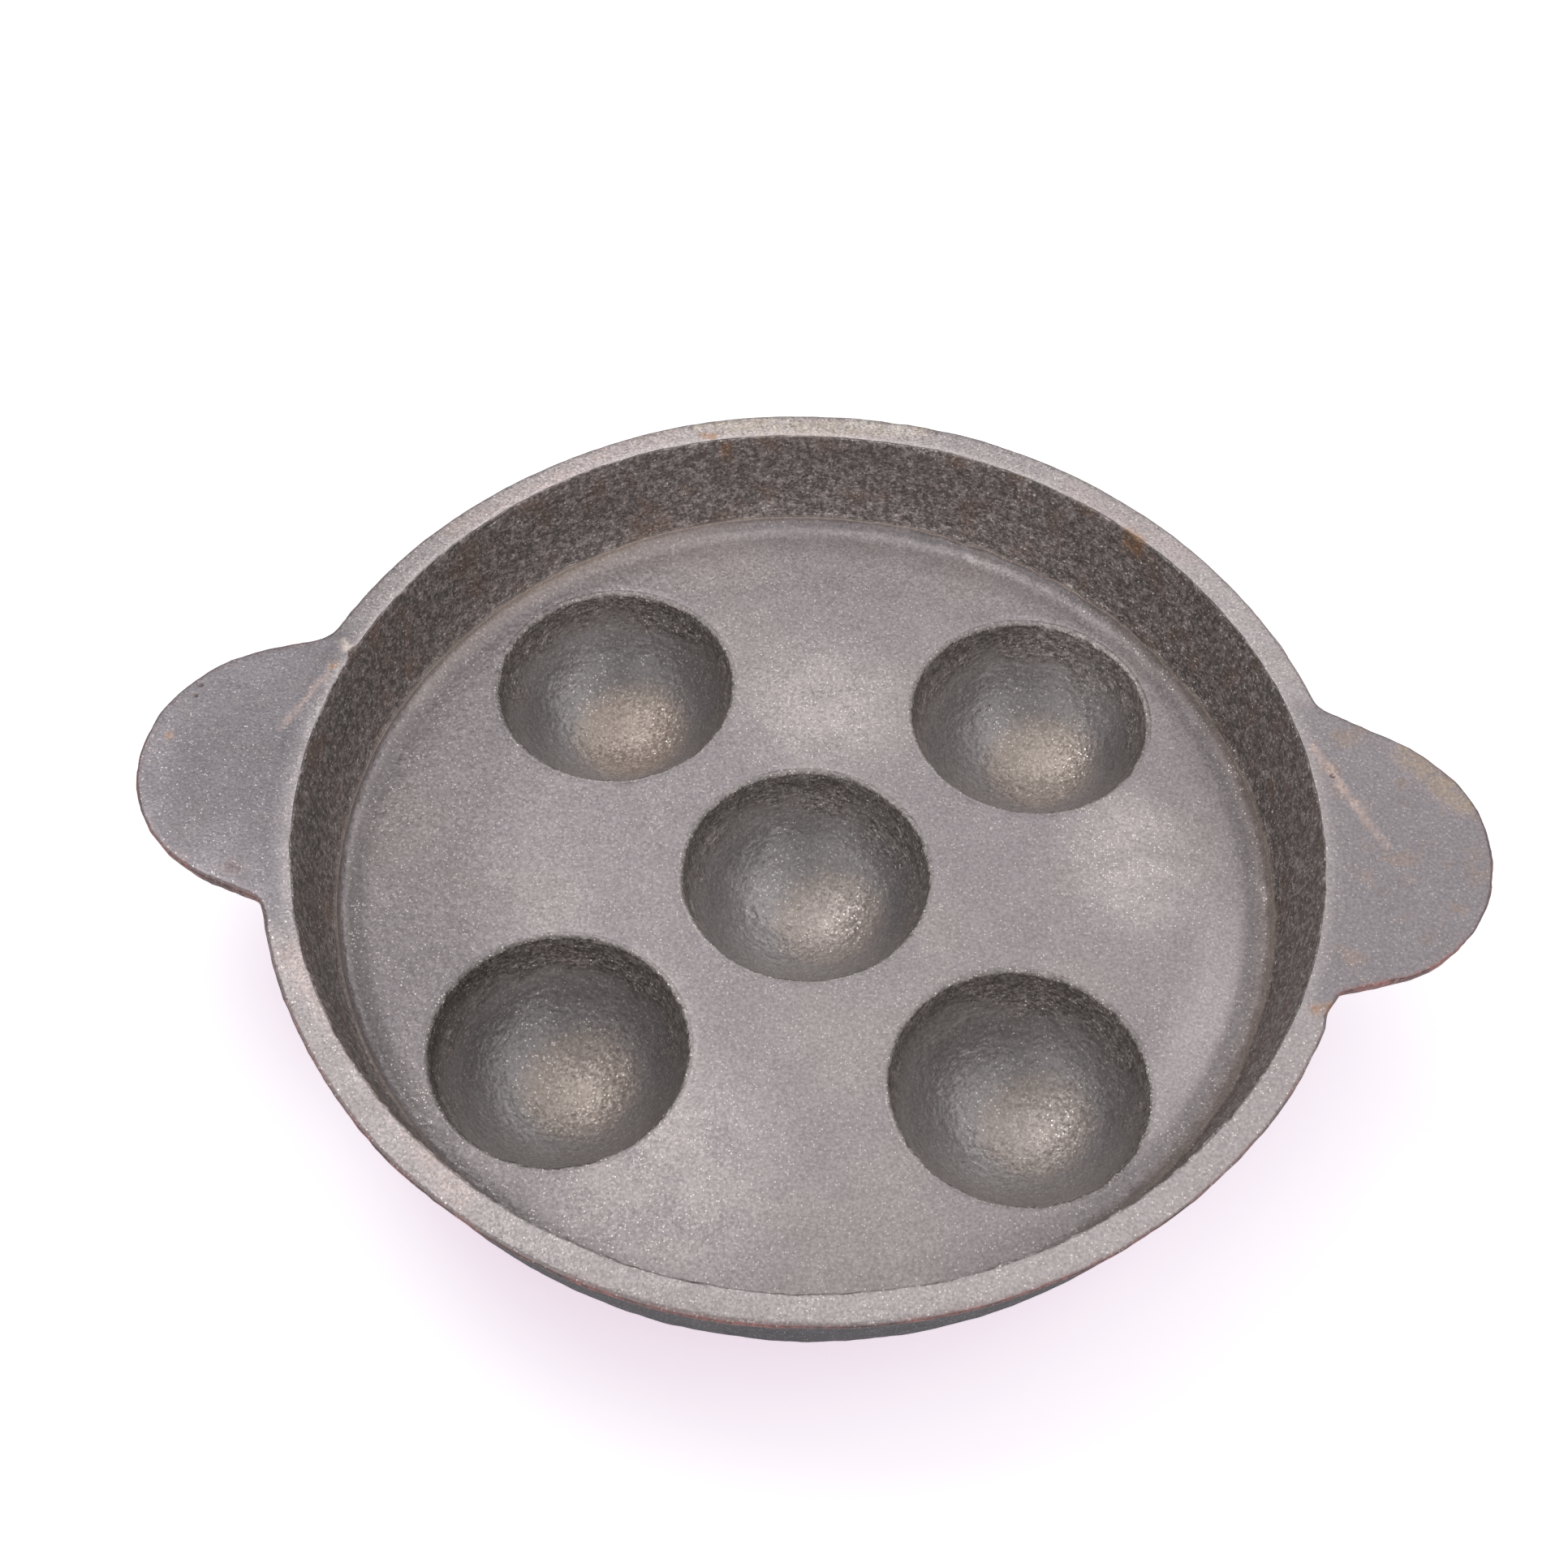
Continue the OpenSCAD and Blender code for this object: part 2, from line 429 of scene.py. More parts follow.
def outline():
    """The outline seen from above, as points, and for each point its rim column or None
    and how far it belongs to a lug."""
    wave = rim_wave(TURNS)
    plan, column, lug = [], [], []
    sectors = {side: lug_sector(side) for side in (1, -1)}
    starts = {sectors[side][0]: side for side in (1, -1)}
    skipped = set(sectors[1][1:-1] + sectors[-1][1:-1])
    order = [(sectors[1][0] + i) % COLUMNS for i in range(COLUMNS)]
    for c in order:
        if c in skipped:
            continue
        radius = RIM_RADIUS + wave[c]
        plan.append((radius * cos(TURNS[c]), radius * sin(TURNS[c])))
        column.append(c)
        lug.append(0.0)
        if c in starts:
            line = lug_plan(starts[c])[1:-1]
            along = np.arange(1, len(line) + 1) * LUG_STEP
            away = np.minimum(along, along[::-1])
            wave_out = lug_wave(line) * smooth(0, RAGGED_FADE, away)
            plan.extend(map(tuple, line + side_normals(line) * wave_out[:, None]))
            column.extend([None] * len(line))
            lug.extend(smooth(0, EDGE_FADE, away))
    return np.array(plan), column, np.array(lug)


def side_normals(line):
    """Outward normals of an outline that runs counterclockwise."""
    ahead = np.roll(line, -1, axis=0) - np.roll(line, 1, axis=0)
    if norm(line[0] - line[-1]) > 5 * MM:
        ahead[0], ahead[-1] = line[1] - line[0], line[-1] - line[-2]
    normal = np.stack([ahead[:, 1], -ahead[:, 0]], 1)
    return normal / norm(normal, axis=1)[:, None]


# Parts of the casting
def edge_profile(round_radius, lean, last):
    """Steps (outward, up) from the outline's widest point down to the thickness of a lug.
    last is the rounding of the lower edge."""
    angles = np.radians([*EDGE_ANGLES, -degrees(lean)])
    steps = [(round_radius * (cos(a) - 1), round_radius * (sin(a) - 1)) for a in angles]
    foot = steps[-1]
    for depth in EDGE_DEPTHS:
        steps.append((foot[0] - tan(lean) * (depth + foot[1]), -depth))
    steps.append((foot[0] - tan(lean) * (LUG_THICKNESS + foot[1]) - last, -LUG_THICKNESS))
    return np.array(steps)


def add_edges(skin):
    """Rows of points around the rim and lugs, from the top face down to the lugs' underside."""
    plan, column, lug = outline()
    normal = side_normals(plan)
    rim_steps = edge_profile(RIM_ROUND, OUTER_LEAN, 0)
    lug_steps = edge_profile(LUG_ROUND, LUG_LEAN, LUG_LOWER_ROUND)
    rows = []
    for k, (rim_rust, lug_rust) in enumerate(zip(RIM_RUST, LUG_RUST)):
        steps = rim_steps[k] * (1 - lug[:, None]) + lug_steps[k] * lug[:, None]
        place = plan + normal * steps[:, :1]
        points = np.concatenate([place, TOP + steps[:, 1:]], 1)
        rust = rim_rust * (1 - lug) + lug_rust * lug
        ground = float(k < GROUND_ROWS)
        rows.append(skin.add(points, edge=rust, rim=ground, outer=1 - ground))
    skin.strips(rows)
    return rows, column


def fillet_radius(turns):
    """Radius of the fillet under the lugs, which runs out at their roots."""
    size = np.zeros(len(turns))
    for side in (1, -1):
        sector = lug_sector(side)
        start, end = TURNS[sector[0]], TURNS[sector[-1]]
        span = (end - start) % (2 * pi)
        along = (turns - start) % (2 * pi)
        near = np.minimum(along, span - along)
        size += np.where(along < span, UNDER_FILLET * smooth(0, FILLET_TAPER, near), 0)
    return size


def add_outside(skin, edge_rows, edge_columns):
    """The outside wall down to the flat underside, and the undersides of the lugs. Returns the
    ring that the underside joins."""
    wave = rim_wave(TURNS)
    fillet = fillet_radius(TURNS)
    start_z = LUG_Z - fillet * (1 - sin(OUTER_LEAN))
    base_z = UNDER_Z + BASE_ROUND * (1 - sin(OUTER_LEAN))
    mid_z = UNDER_Z + BASE_ROUND
    mid_r = wall_radius(mid_z) - BASE_ROUND / cos(OUTER_LEAN)

    def wall_at(z):
        fade = smooth(base_z, LUG_Z, z)
        return wall_radius(z) + wave * fade

    shared = {c: n for c, n in zip(edge_columns, edge_rows[-1]) if c is not None}
    inner = [c for c in range(COLUMNS) if c not in shared]
    made = skin.add(ring(wall_at(start_z), start_z, TURNS)[inner], outer=1)
    shared.update(zip(inner, made))
    rows = [[shared[c] for c in range(COLUMNS)]]
    for k in range(1, OUTSIDE_ROWS):
        z = start_z + (base_z - start_z) * k / OUTSIDE_ROWS
        rows.append(skin.add(ring(wall_at(z), z, TURNS), outer=1))
    angles = np.linspace(-OUTER_LEAN, -pi / 2, BASE_ROWS)
    rows += skin.rounding(BASE_ROUND, mid_r, mid_z, angles, TURNS, outer=1)
    skin.strips(rows)
    for side in (1, -1):
        add_lug_underside(skin, side, edge_rows[-1], edge_columns, rows[0], wave)
    return rows[-1]


def add_lug_underside(skin, side, edge_row, edge_columns, wall_row, wave):
    """The underside of a lug, with the fillet along the wall."""
    sector = lug_sector(side)
    first = edge_columns.index(sector[0])
    last = edge_columns.index(sector[-1])
    size = len(edge_row)
    outer = [edge_row[(first + i) % size] for i in range((last - first) % size + 1)]
    inner = [wall_row[c] for c in reversed(sector[1:-1])]
    loop = outer + inner
    plan = np.array([skin.points[n][:2] for n in loop])

    def lift(x, y):
        turn = atan2(y, x) % (2 * pi)
        radius = float(fillet_radius(np.array([turn]))[0])
        shift = np.interp(turn, TURNS, wave)
        middle = wall_radius(LUG_Z - radius) + shift + radius / cos(OUTER_LEAN)
        away = min(middle - hypot(x, y), radius * cos(OUTER_LEAN))
        if radius < LEAST_FILLET or away <= 0:
            return x, y, LUG_Z
        return x, y, LUG_Z - radius + sqrt(radius ** 2 - away ** 2)

    skin.fill([loop], [plan], TOP_SPACING, lift, outer=1)


def add_inside(skin):
    """The rounded inner edge of the rim, the rough wall, the ragged ledge and the cove.
    Returns the rings that the rim top and the floor join."""
    edge_wave = uneven(TURNS, INNER_EDGE_LUMPS, INNER_EDGE_SWELLS.values())
    ledge_z, ledge_in = ledge_line()

    def wall_at(z):
        fade = smooth(TOP - EDGE_REACH, TOP, z)
        return RIM_RADIUS - RIM_WIDTH - tan(INNER_LEAN) * (TOP - z) + edge_wave * fade

    mid_z = TOP - INNER_ROUND
    mid_r = wall_at(mid_z) + INNER_ROUND / cos(INNER_LEAN)
    angles = np.radians([*INNER_EDGE_ANGLES, 180 - degrees(INNER_LEAN)])
    rows = skin.rounding(INNER_ROUND, mid_r, mid_z, angles, TURNS, rim=(1, 1, 0, 0),
                         wall=(0, 0, 1, 1))
    start_z = mid_z + INNER_ROUND * sin(INNER_LEAN)
    end_z = ledge_z + 0.2 * MM
    for k in range(1, WALL_ROWS + 1):
        z = start_z + (end_z - start_z) * k / WALL_ROWS
        rows.append(skin.add(ring(wall_at(z), z, TURNS), wall=1))
    crest = COVE_FOOT + COVE_WIDTH + ledge_in
    step = wall_at(end_z) * 0.7 + crest * 0.3
    rows.append(skin.add(ring(step, ledge_z + 0.08 * MM, TURNS), wall=0.6, ledge=0.7))
    rows.append(skin.add(ring(crest, ledge_z, TURNS), ledge=1))
    rows += cove_rows(skin, ledge_z, ledge_in)
    skin.strips(rows)
    return rows[0], rows[-1]


def ledge_line():
    """Height of the ledge around the pan, and how far it is off its circle. It is the most
    ragged on the right."""
    share = 0.35 + 0.65 * smooth(-0.1, 0.6, np.cos(TURNS - LEDGE_RAGGED_TURN))
    height = share * uneven(TURNS, LEDGE_LUMPS) + uneven(TURNS, LEDGE_WAVES)
    return FLOOR_Z + COVE_HEIGHT + height, share * uneven(TURNS, LEDGE_TEETH)


def cove_rows(skin, ledge_z, ledge_in):
    """Rows of the cove, from the ledge down to the floor. It is tan on the right and at the
    back left."""
    tinge = smooth(0.3, 0.9, np.cos(TURNS - COVE_TAN_TURN)) + bump_at(TURNS, *COVE_TAN_BACK)
    rows = []
    for angle in np.radians(COVE_ANGLES):
        fade = 1 - sin(angle)
        r = COVE_FOOT + COVE_WIDTH * cos(angle) + ledge_in * fade
        z = FLOOR_Z + (ledge_z - FLOOR_Z) * fade
        cover = max(0, 1 - 0.75 * angle) * tinge + max(0, 0.3 - 0.5 * angle)
        rows.append(skin.add(ring(r, z, TURNS), ledge=cover))
    return rows


def add_rim_top(skin, edge_row, inner_row):
    """The ground top face of the rim and lugs, with a finer mesh at the pits."""
    spots = [np.array(middle) * MM for middle, radius in PITS]
    skin.fill_level(TOP, [edge_row, inner_row], TOP_SPACING, spots, rim=1)


def add_flare(skin, face_z, ball, radius, count, turns, middle, **zone):
    """A rounding from a level face down onto a ball about a cup's middle. Returns its rows."""
    mid_z = face_z - radius
    rise = mid_z - CUP_MIDDLE_Z
    mid_r = sqrt((ball + radius) ** 2 - rise ** 2)
    angles = np.linspace(pi / 2, atan2(-rise, -mid_r), count)
    rows = skin.rounding(radius, mid_r, mid_z, angles, turns, middle, **zone)
    skin.strips(rows)
    return rows


def add_cup(skin, middle):
    """A cup's rounded lip and its hollow. Returns the ring on the floor."""
    rows = add_flare(skin, FLOOR_Z, CUP_SPHERE, LIP_ROUND, len(LIP_WEIGHTS), LIP_TURNS, middle,
                     cup=LIP_WEIGHTS)
    fill_ball(skin, rows[-1], middle, CUP_SPHERE, LIP_TURNS, CUP_SPACING, cup=1)
    return rows[0]


def fill_ball(skin, row, middle, radius, turns, spacing, flat_row=None, flat_polar=0.0, **zone):
    """Covers the lower part of a ball below a row of points, on an equal-area plan of it. Where
    the ball ends in a flat, flat_row is the flat's border, at that angle from straight down."""
    polar = acos((CUP_MIDDLE_Z - skin.points[row[0]][2]) / radius)
    reach = 2 * radius * sin(polar / 2)
    plans = [ring(reach, 0, turns)[:, :2]]
    loops = [row]
    if flat_row:
        plans.append(ring(2 * radius * sin(flat_polar / 2), 0, turns)[:, :2])
        loops.append(flat_row)

    def lift(x, y):
        far = hypot(x, y)
        angle = 2 * asin(far / (2 * radius))
        out = radius * sin(angle) / max(far, 1e-9)
        return middle[0] + x * out, middle[1] + y * out, CUP_MIDDLE_Z - radius * cos(angle)

    skin.fill(loops, plans, spacing, lift, **zone)


def add_floor(skin, cove_row, lips):
    """The level floor between the cove and the lips of the cups."""
    skin.fill_level(FLOOR_Z, [cove_row] + lips, FLOOR_SPACING)


def add_shell(skin, middle):
    """The outside of a cup, with its fillet and the flat that it stands on. Returns the ring
    on the underside."""
    rows = add_flare(skin, UNDER_Z, SHELL_SPHERE, SHELL_FILLET, FILLET_ROWS, SHELL_TURNS, middle,
                     outer=1)
    flat_polar = acos(CUP_MIDDLE_Z / SHELL_SPHERE)
    flat_r = SHELL_SPHERE * sin(flat_polar)
    flat_row = skin.add(ring(flat_r, 0, SHELL_TURNS, middle), outer=1)
    fill_ball(skin, rows[-1], middle, SHELL_SPHERE, SHELL_TURNS, SHELL_SPACING, flat_row,
              flat_polar, outer=1)
    skin.fill_level(0, [flat_row], SHELL_SPACING, outer=1)
    return rows[0]


def add_underside(skin, base_row, shells):
    """The level underside around the shells of the cups."""
    skin.fill_level(UNDER_Z, [base_row] + shells, UNDER_SPACING, outer=1)


def cast_pan():
    """The whole casting as one closed mesh."""
    skin = Skin()
    edge_rows, edge_columns = add_edges(skin)
    base_row = add_outside(skin, edge_rows, edge_columns)
    inner_row, cove_row = add_inside(skin)
    add_rim_top(skin, edge_rows[0], inner_row)
    lips = [add_cup(skin, middle) for middle in CUPS]
    add_floor(skin, cove_row, lips)
    shells = [add_shell(skin, middle) for middle in CUPS]
    add_underside(skin, base_row, shells)
    mesh = bpy.data.meshes.new("cast_pan")
    mesh.from_pydata(skin.points, [], skin.faces)
    face_outward(mesh)
    zones = np.array(skin.zones)
    paint(mesh, zones, np.array(skin.points))
    roughen(mesh, zones)
    mesh.shade_smooth()
    return in_scene("cast_pan", mesh)


def face_outward(mesh):
    """Turns all the faces outward."""
    shape = bmesh.new()
    shape.from_mesh(mesh)
    bmesh.ops.recalc_face_normals(shape, faces=shape.faces)
    shape.to_mesh(mesh)
    shape.free()


# Roughness that the sand mould left: height and size of lumps in millimetres, seed, and how
# flat they are
ROUGHNESS = {
    "wall": [(0.3, 2.6, 11, 1.4), (0.18, 1.4, 23, 1.2), (0.22, 9, 31, 1)],
    "cup": [(0.2, 2.2, 41, 1.3)],
    "rim": [(0.05, 1.8, 53, 1), (0.1, 14, 57, 1)],
    "outer": [(0.14, 2.8, 61, 1), (0.12, 12, 67, 1)],
    "floor": [(0.05, 5, 71, 1), (0.08, 18, 73, 1)],
}
# The share of the cups' roughness at their bottom, and of the floor's in the cove
CUP_BOTTOM_SHARE = 0.25
COVE_SHARE = 0.4
# How far the rim is ground down, in millimetres
RIM_GROUND_OFF = 0.06
# The flats under the cups keep their level, up to this height
FLAT_HEIGHT = 0.5 * MM


def lumps(points, size, seed, flat):
    """Smooth noise in space with lumps of about that size, flattened upright."""
    places = points / size * np.array([1, 1, flat]) + seed
    return np.array([noise.noise(p) for p in places.tolist()])


def roughen(mesh, zones):
    """Moves the points along their normals, as far as the sand mould left each zone rough."""
    points, normals = np.empty((2, len(mesh.vertices), 3))
    mesh.vertices.foreach_get("co", points.ravel())
    mesh.vertices.foreach_get("normal", normals.ravel())
    wall, cup, rim, outer, edge, ledge = zones.T
    floor = np.clip(1 - zones.sum(1), 0, 1)
    upper_cup = cup * smooth(FLOOR_Z - 16 * MM, FLOOR_Z - 3 * MM, points[:, 2])
    shares = {
        "wall": wall,
        "cup": CUP_BOTTOM_SHARE * cup + upper_cup,
        "rim": rim,
        "outer": outer,
        "floor": floor + COVE_SHARE * ledge,
    }
    out = -RIM_GROUND_OFF * rim
    for zone, share in shares.items():
        for height, size, seed, flat in ROUGHNESS[zone]:
            out += share * height * lumps(points, size * MM, seed, flat)
    for middle, radius in PITS:
        away = from_line(points, middle, middle)
        out -= rim * PIT_DEPTH * (1 - smooth(0, 1.1 * radius * MM, away))
    standing = outer * (points[:, 2] < FLAT_HEIGHT)
    moved = points + normals * (out * MM * (1 - standing))[:, None]
    mesh.vertices.foreach_set("co", np.clip(moved, low, high).ravel())
    mesh.update()


# Rubbed places, stains, painted highlights and sheen, and painted light and shade, all on the points
# of the mesh
BEIGE = (0.66, 0.56, 0.46)
CREAM = (0.85, 0.76, 0.68)
ORANGE = (0.50, 0.25, 0.10)
OCHRE = (0.58, 0.42, 0.27)
PALE_PINK = (0.62, 0.47, 0.42)
PIT = (0.17, 0.08, 0.062)

# Marks seen from above: from and to in the plan, half width, colour and strength.
# Lengths in millimetres
MARKS = {
    "beige_rim": ((-30, 96), (16, 99.5), 3.8, BEIGE, 0.6),
    "beige_rim_left": ((-47, 88), (-36, 93), 3, PALE_PINK, 0.35),
    "pink_rim_left": ((-78, 62), (-47, 88), 3, PALE_PINK, 0.3),
    "pink_rim_right": ((48, 86), (72, 69), 3, PALE_PINK, 0.22),
    "pink_rim_front": ((-90, -40), (-52, -84), 3.5, PALE_PINK, 0.3),
    "cream_patch": ((2, 100.5), (6, 100.3), 2.4, CREAM, 0.8),
    "cream_patch_right": ((10, 99.6), (14, 98.6), 2.2, CREAM, 0.7),
    "cream_patch_left": ((-15, 99.2), (-12, 99.8), 1.8, CREAM, 0.6),
    "rust_spot_back": ((-29.5, 93.2), (-27.5, 93.2), 1.6, ORANGE, 0.8),
    "rust_spot_back_wall": ((-25, 91.6), (-23.5, 91.8), 1.3, ORANGE, 0.7),
    "orange_wall": ((60.2, 74.6), (62.5, 72.6), 2.2, ORANGE, 0.6),
    "rust_rim_right": ((92.5, -35), (95.5, -34.3), 1.8, ORANGE, 0.6),
    "scratch_left": ((-94.4, 26), (-101.8, 9.5), 1.0, PALE_PINK, 0.45),
    "rust_on_scratch": ((-94.6, 25.6), (-95.3, 24.4), 1.1, ORANGE, 0.7),
    "notch_stain": ((-93, 29.6), (-94, 31.5), 1.3, CREAM, 0.8),
    "ochre_dot": ((-122.8, 5.4), (-122.7, 5.3), 1.4, ORANGE, 0.5),
    "smudge": ((-104.5, -22.6), (-103.3, -23), 2.2, PIT, 0.35),
    "streak_right": ((95.3, 23.2), (103.5, 8), 1.2, PALE_PINK, 0.75),
    "streak_right_end": ((103.5, 8), (107.9, 1.4), 1.0, PALE_PINK, 0.6),
    "ochre_edge": ((113, 23), (122.5, 13), 4.5, OCHRE, 0.4),
}

# How far stains reach down from the top on the wall inside, and on the rim's and lugs' edge
STAIN_DEPTH_INSIDE = 8 * MM
STAIN_DEPTH_OUTSIDE = 3.6 * MM
OUTSIDE_BEGIN = 98 * MM

# Small pits: middle in the plan and radius, and their depth, in millimetres
PITS = [((-119.4, 18.0), 0.55), ((-119.8, 15.5), 0.5), ((98.6, 16.8), 0.6)]
PIT_DEPTH = 0.35

# Painted sheen and glints: where the ground floor is lighter and more grainy: middle and reach, in
# millimetres
SHEEN_AREAS = [((0, 41), 24), ((62, 14), 17), ((65, 3), 17), ((-22, -66), 32), ((-55, -55), 22)]

# Where the bottom of each of CUPS is lighter, partly rubbed and partly a painted highlight: how far
# from its middle in millimetres, and how much
WORN_AND_HIGHLIT_PATCHES = [((4.8, 1.6), 0.62), ((4.2, 2.0), 0.78), ((2.2, 1.8), 1.0), ((2.6, 2.4), 0.75),
                ((4.8, 1.6), 0.58)]
WORN_AND_HIGHLIT_RADIUS = 12.5 * MM

# Painted light and shade around the pan, as broad changes of brightness: direction and half width
# in degrees, where they begin, are full and end in millimetres from the axis, and the change
RING_SHADES = {
    "left_floor": (196, 56, 50, 74, 88.5, -0.33),
    "right_floor": (16, 34, 62, 86, 89.5, -0.06),
    "right_back_floor": (45, 26, 76, 82, 85.5, 0.22),
    "right_cove": (28, 34, 85, 88, 90, -0.36),
    "right_front_floor": (342, 20, 73, 80, 84.5, 0.38),
    "front_cove": (310, 24, 80, 87, 90, -0.18),
    "right_front_cove": (346, 30, 84, 86.5, 88, -0.2),
    "left_front_cove": (212, 36, 84, 86.5, 88, -0.16),
    "back_left_cove": (122, 26, 87, 89, 91.5, 0.14),
    "back_floor": (97, 42, 72, 82, 88, 0.38),
    "back_wall": (92, 42, 90, 91, 96, 0.28),
    "back_wall_foot": (100, 60, 90.2, 91, 92.2, 0.18),
    "left_wall_foot": (196, 44, 90.2, 91, 92.2, 0.3),
    "wall_top": (140, 110, 94.6, 96, 97.2, 0.16),
    "right_back_rim": (45, 28, 96, 97.5, 130, 0.22),
    "back_rim": (108, 28, 96, 97.5, 130, 0.42),
    "back_left_rim": (152, 16, 96, 97.5, 130, -0.12),
    "front_rim": (300, 26, 96, 97.5, 130, 0.12),
    "left_rim": (176, 26, 96, 97.5, 101, -0.18),
    "left_front_rim": (225, 25, 96, 97.5, 130, -0.08),
}
# The same painted light and shade about the middle of every cup
CUP_SHADES = {
    "near_side": (248, 60, 3, 13, 22.5, 0.5),
    "far_side": (112, 46, 10, 15, 20, -0.12),
    "far_lip": (140, 60, 19, 21, 22.5, 0.14),
    "right_side": (10, 50, 10, 14, 17, 0.14),
    "mouth": (225, 110, 18, 21, 22.5, 0.2),
}
# Painted shade on the left lug, darker around a point of it: that point and the reach in millimetres
LEFT_LUG_MIDDLE = (-106, -1)
LEFT_LUG_REACH = 24
LEFT_LUG_SHADE = -0.28


def from_line(points, start, end):
    """Distance in the plan of every point from a line."""
    start, end = np.array(start) * MM, np.array(end) * MM
    away = points[:, :2] - start
    step = end - start
    along = np.clip(away @ step / max(step @ step, 1e-12), 0, 1)
    return norm(away - along[:, None] * step, axis=1)


def shades_around(points, middle, shades):
    """Sum of the painted light and shade around an upright axis."""
    x, y = (points[:, :2] - middle).T
    far, turns = np.hypot(x, y) / MM, np.arctan2(y, x)
    total = np.zeros(len(points))
    for turn, half, begin, full, end, change in shades.values():
        band = smooth(begin, full, far) * smooth(end + 1, end, far)
        total += change * band * bump_at(turns, turn, half)
    return total


def worn_and_highlit_bottoms(points):
    """Cup bottoms partly rubbed lighter and partly a painted highlight: a middle, and a fainter skirt
    around it.
    """
    worn_and_highlit = np.zeros(len(points))
    for (cup_x, cup_y), ((right, back), strength) in zip(CUPS, WORN_AND_HIGHLIT_PATCHES):
        away = np.hypot(points[:, 0] - cup_x - right * MM, points[:, 1] - cup_y - back * MM)
        middle = 1 - smooth(0.6 * WORN_AND_HIGHLIT_RADIUS, 1.2 * WORN_AND_HIGHLIT_RADIUS, away)
        skirt = 1 - smooth(WORN_AND_HIGHLIT_RADIUS, 1.6 * WORN_AND_HIGHLIT_RADIUS, away)
        worn_and_highlit = np.maximum(worn_and_highlit, (0.8 * middle + 0.2 * skirt) * strength)
    return worn_and_highlit


def floor_sheen(points):
    """Painted sheen on the ground floor: how much lighter and more grainy it is."""
    bright = np.zeros(len(points))
    for middle, reach in SHEEN_AREAS:
        away = from_line(points, middle, middle)
        bright = np.maximum(bright, 1 - smooth(0.2 * reach * MM, reach * MM, away))
    return bright


def shade(points):
    """Painted light and shade around the pan, in the cups and on the left lug."""
    change = shades_around(points, (0, 0), RING_SHADES)
    for middle in CUPS:
        in_cup = np.hypot(*(points[:, :2] - middle).T) < CUP_RADIUS
        change += in_cup * shades_around(points, middle, CUP_SHADES)
    away = from_line(points, LEFT_LUG_MIDDLE, LEFT_LUG_MIDDLE)
    fade = 1 - smooth(0.35 * LEFT_LUG_REACH * MM, LEFT_LUG_REACH * MM, away)
    far = np.hypot(points[:, 0], points[:, 1])
    on_left_lug = smooth(98 * MM, 103 * MM, far) * (points[:, 0] < 0)
    return change + LEFT_LUG_SHADE * on_left_lug * (0.35 + 0.65 * fade)


def wear_and_light(points):
    """Weights that depend on the place alone: the lugs, rubbed cup bottoms with a painted highlight,
    painted sheen, and painted light and shade.
    """
    far = np.hypot(points[:, 0], points[:, 1])
    lug = smooth(95 * MM, 100 * MM, far) * smooth(38 * MM, 32 * MM, np.abs(points[:, 1]))
    layers = (lug, worn_and_highlit_bottoms(points), floor_sheen(points), shade(points))
    return dict(zip(WEAR_AND_LIGHT, layers))


def stains(points):
    """Colour of the stain at every point, and how much of it there is. Stains reach down the
    wall inside, but not round to the underside of a lug."""
    colour = np.tile(PALE_PINK, (len(points), 1))
    cover = np.zeros(len(points))
    outside = np.hypot(points[:, 0], points[:, 1]) > OUTSIDE_BEGIN
    deep = np.where(outside, STAIN_DEPTH_OUTSIDE, STAIN_DEPTH_INSIDE)
    top = smooth(-deep, -0.25 * deep, points[:, 2] - TOP)
    pits = [(middle, middle, radius, PIT, 0.85) for middle, radius in PITS]
    for start, end, half, tint, strength in [*MARKS.values(), *pits]:
        away = from_line(points, start, end)
        weight = (1 - smooth(0.3 * half * MM, half * MM, away)) * top
        colour += (np.array(tint) - colour) * weight[:, None]
        cover = np.maximum(cover * (1 - weight), weight * strength)
    return np.concatenate([colour, cover[:, None]], 1)


def paint(mesh, zones, points):
    """Keeps all the weights and the stains as attributes of the mesh."""
    layers = dict(zip(ZONES, zones.T)) | wear_and_light(points)
    for name, values in layers.items():
        layer = mesh.attributes.new(name, "FLOAT", "POINT")
        layer.data.foreach_set("value", values.astype(np.float32))
    layer = mesh.attributes.new("stain", "FLOAT_COLOR", "POINT")
    layer.data.foreach_set("color", stains(points).astype(np.float32).ravel())


